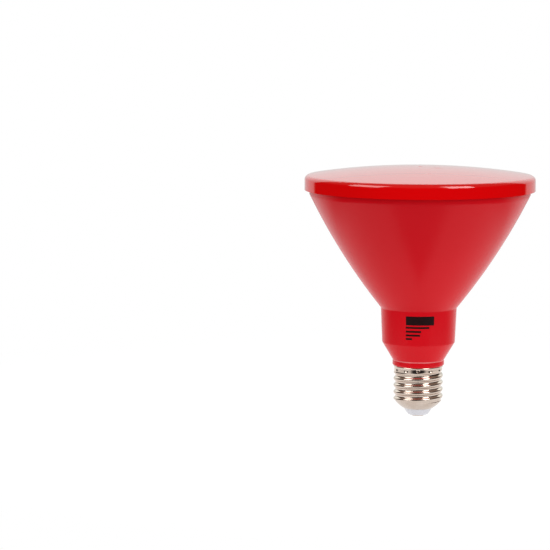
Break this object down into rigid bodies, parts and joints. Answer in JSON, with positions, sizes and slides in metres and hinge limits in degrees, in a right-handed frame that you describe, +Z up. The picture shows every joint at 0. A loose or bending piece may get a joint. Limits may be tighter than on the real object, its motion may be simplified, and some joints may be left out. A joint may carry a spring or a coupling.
{
  "type": "led par bulb",
  "caption": "Reflector-shaped lamp with a red satin housing, a shallow domed red lens and a rolled metal screw cap, made to be screwed into a lamp socket.",
  "frame": {"origin": "centre of the underside of the centre contact, on the lamp's axis", "axes": "+Z runs up the axis from the contact to the lens, -Y faces the viewer of the picture, +X is to the right"},
  "size_m": [0.122, 0.122, 0.1331],
  "materials": {
    "red_satin_plastic": "satin moulded",
    "red_tinted_lens": "glossy, tinted through",
    "nickel_plate": "bright nickel plate on thin sheet",
    "grey_insulator": "smooth moulded",
    "pressed_aluminium": "plain pressed sheet",
    "white_board_mask": "white mask over a metal core",
    "light_chip": "clear resin over a pale package",
    "zinc_screw": "zinc plated",
    "green_board": "glass fibre board with green mask",
    "ferrite": "dull sintered",
    "yellow_tape": "wound polyester tape",
    "black_sleeve": "shrunk sleeve",
    "ochre_potting": "potted box",
    "blue_enamel": "enamelled",
    "black_resin": "moulded resin",
    "brown_lead": "insulated lead",
    "blue_lead": "insulated lead",
    "red_lead": "insulated lead",
    "black_lead": "insulated lead"
  },
  "bodies": {
    "root": {"centre_contact": "nickel_plate", "cap_insulator": "grey_insulator", "screw_shell": "nickel_plate", "housing": "red_satin_plastic", "diffuser_lens": "red_tinted_lens", "heat_sink": "pressed_aluminium", "led_board": "white_board_mask", "led_chips": "light_chip", "board_screws": "zinc_screw", "driver_board": "green_board", "transformer_core": "ferrite", "transformer_winding": "yellow_tape", "input_capacitor": "black_sleeve", "output_capacitor": "black_sleeve", "film_capacitor": "ochre_potting", "fuse_resistor": "blue_enamel", "bridge_rectifier": "black_resin", "driver_chip": "black_resin", "live_lead": "brown_lead", "neutral_lead": "blue_lead", "led_lead_positive": "red_lead", "led_lead_negative": "black_lead"}
  },
  "joints": []
}
